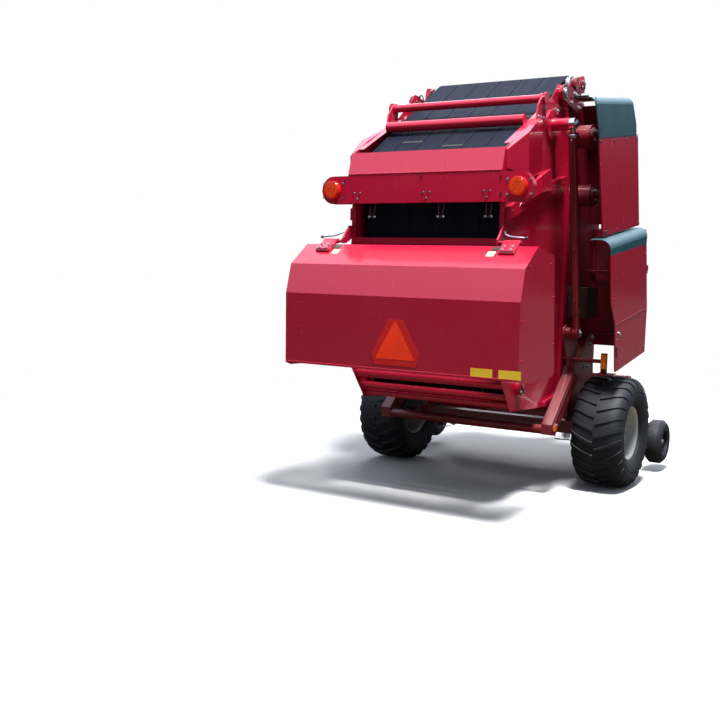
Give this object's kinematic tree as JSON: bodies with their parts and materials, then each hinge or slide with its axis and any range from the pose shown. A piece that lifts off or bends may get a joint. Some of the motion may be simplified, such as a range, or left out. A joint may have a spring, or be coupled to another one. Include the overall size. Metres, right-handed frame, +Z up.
{
  "type": "round baler",
  "caption": "Towed round baler with a belt chamber, hydraulic tailgate and hood, side covers, tined pickup, drawbar, jack and two road wheels.",
  "frame": {"origin": "centre of the overall box on the ground", "axes": "+X to the machine's right, +Y forward along the drawbar, +Z up"},
  "size_m": [2.3, 4.286, 3.1716],
  "materials": {
    "red_paint": "gloss paint, faded",
    "dark_red_paint": "gloss paint, dusty",
    "bare_steel": "worn steel",
    "teal_plastic": "satin moulded plastic",
    "belt_rubber": "ribbed rubber belt",
    "tyre_rubber": "dusty rubber",
    "rim_silver": "silver paint",
    "gear_iron": "painted casting",
    "orange_lamp": "moulded lens",
    "sign_orange": "reflective sheet",
    "ram_paint": "gloss paint",
    "black_paint": "satin paint"
  },
  "bodies": {
    "chassis": {"main_frame": "dark_red_paint", "axle_spindles": "bare_steel", "chamber_walls": "red_paint", "roof_arms": "dark_red_paint", "frame_rollers": "bare_steel", "frame_belts": "belt_rubber", "valve_box": "black_paint", "front_shields": "red_paint", "front_panel": "red_paint", "net_box": "red_paint", "drawbar": "red_paint", "hitch_clevis": "bare_steel", "jack_tube": "dark_red_paint", "gearbox": "gear_iron", "side_drive": "dark_red_paint", "cover_arms": "dark_red_paint", "side_lamps": "orange_lamp"},
    "tailgate": {"gate_walls": "red_paint", "gate_beam": "red_paint", "gate_tubes": "dark_red_paint", "gate_rollers": "bare_steel", "gate_belts": "belt_rubber", "tail_lamps": "orange_lamp", "hood_hinges": "red_paint"},
    "hood": {"hood": "red_paint", "warning_triangle": "sign_orange"},
    "left_barrel": {"barrel_left": "ram_paint"},
    "right_barrel": {"barrel_right": "ram_paint"},
    "left_rod": {"rod_left": "bare_steel"},
    "right_rod": {"rod_right": "bare_steel"},
    "left_wheel": {"rim_left": "rim_silver", "tyre_left": "tyre_rubber"},
    "right_wheel": {"rim_right": "rim_silver", "tyre_right": "tyre_rubber"},
    "left_upper_cover": {"upper_panel_left": "red_paint"},
    "right_upper_cover": {"upper_panel_right": "red_paint", "upper_shell_right": "teal_plastic"},
    "left_lower_door": {"lower_panel_left": "red_paint", "lower_band_left": "teal_plastic"},
    "right_lower_door": {"lower_panel_right": "red_paint", "lower_band_right": "teal_plastic"},
    "net_lid": {"net_lid": "red_paint"},
    "input_shaft": {"input_shaft": "bare_steel"},
    "jack_leg": {"jack_leg": "bare_steel"},
    "pickup": {"pickup_frame": "red_paint", "strippers": "red_paint", "gauge_arms": "dark_red_paint"},
    "reel": {"pickup_reel": "bare_steel"},
    "left_gauge_wheel": {"gauge_left": "tyre_rubber"},
    "right_gauge_wheel": {"gauge_right": "tyre_rubber"},
    "windguard": {"windguard": "dark_red_paint"}
  },
  "joints": [
    {"name": "tailgate_lift", "type": "hinge", "parent": "chassis", "child": "tailgate", "pos_m": [0, -0.832, 2.98981], "axis": [-1, 0, 0], "range_deg": [0, 50]},
    {"name": "hood_lift", "type": "hinge", "parent": "tailgate", "child": "hood", "pos_m": [0, -1.854, 1.854], "axis": [-1, 0, 0], "range_deg": [0, 70]},
    {"name": "left_ram_swing", "type": "hinge", "parent": "chassis", "child": "left_barrel", "pos_m": [-0.77, -0.722, 1.216], "axis": [-1, 0, 0], "range_deg": [0, 4.5]},
    {"name": "left_ram_slide", "type": "slide", "parent": "left_barrel", "child": "left_rod", "axis": [0, -0.1712, 0.9852], "range_m": [0, 0.225]},
    {"name": "left_wheel_turn", "type": "hinge", "parent": "chassis", "child": "left_wheel", "pos_m": [-0.95, -0.332, 0.437], "axis": [1, 0, 0], "continuous": true},
    {"name": "left_upper_cover_lift", "type": "hinge", "parent": "chassis", "child": "left_upper_cover", "pos_m": [-0.9975, -0.432, 2.70769], "axis": [0, 0.9854, 0.1705], "range_deg": [0, 80]},
    {"name": "left_lower_door_swing", "type": "hinge", "parent": "chassis", "child": "left_lower_door", "pos_m": [-1.062, 0.027, 1.4], "axis": [0, 0, -1], "range_deg": [0, 90]},
    {"name": "right_ram_swing", "type": "hinge", "parent": "chassis", "child": "right_barrel", "pos_m": [0.77, -0.722, 1.216], "axis": [-1, 0, 0], "range_deg": [0, 4.5]},
    {"name": "right_ram_slide", "type": "slide", "parent": "right_barrel", "child": "right_rod", "axis": [0, -0.1712, 0.9852], "range_m": [0, 0.225]},
    {"name": "right_wheel_turn", "type": "hinge", "parent": "chassis", "child": "right_wheel", "pos_m": [0.95, -0.332, 0.437], "axis": [1, 0, 0], "continuous": true},
    {"name": "right_upper_cover_lift", "type": "hinge", "parent": "chassis", "child": "right_upper_cover", "pos_m": [0.8275, -0.687, 2.95486], "axis": [0, -0.9898, -0.1426], "range_deg": [0, 80]},
    {"name": "right_lower_door_swing", "type": "hinge", "parent": "chassis", "child": "right_lower_door", "pos_m": [1.062, 0.027, 1.4], "axis": [0, 0, 1], "range_deg": [0, 90]},
    {"name": "net_lid_lift", "type": "hinge", "parent": "chassis", "child": "net_lid", "pos_m": [0, 0.159, 2.053], "axis": [1, 0, 0], "range_deg": [0, 80]},
    {"name": "input_shaft_turn", "type": "hinge", "parent": "chassis", "child": "input_shaft", "pos_m": [0, 0.748, 1.26], "axis": [0, 1, 0], "continuous": true},
    {"name": "jack_slide", "type": "slide", "parent": "chassis", "child": "jack_leg", "axis": [0, 0, 1], "range_m": [0, 0.3]},
    {"name": "pickup_lift", "type": "hinge", "parent": "chassis", "child": "pickup", "pos_m": [0, 0.098, 0.64], "axis": [1, 0, 0], "range_deg": [-7, 8]},
    {"name": "reel_turn", "type": "hinge", "parent": "pickup", "child": "reel", "pos_m": [0, 0.458, 0.42], "axis": [1, 0, 0], "continuous": true},
    {"name": "left_gauge_turn", "type": "hinge", "parent": "pickup", "child": "left_gauge_wheel", "pos_m": [-1.075, 0.558, 0.249], "axis": [1, 0, 0], "continuous": true},
    {"name": "right_gauge_turn", "type": "hinge", "parent": "pickup", "child": "right_gauge_wheel", "pos_m": [1.075, 0.558, 0.249], "axis": [1, 0, 0], "continuous": true},
    {"name": "windguard_lift", "type": "hinge", "parent": "pickup", "child": "windguard", "pos_m": [0, 0.328, 0.76], "axis": [1, 0, 0], "range_deg": [0, 18]}
  ],
  "couplings": [
    {"joint": "left_ram_swing", "follows": "tailgate_lift", "ratio": 0.086},
    {"joint": "left_ram_slide", "follows": "tailgate_lift", "m_per_rad": 0.2554},
    {"joint": "right_ram_swing", "follows": "tailgate_lift", "ratio": 0.086},
    {"joint": "right_ram_slide", "follows": "tailgate_lift", "m_per_rad": 0.2554}
  ]
}
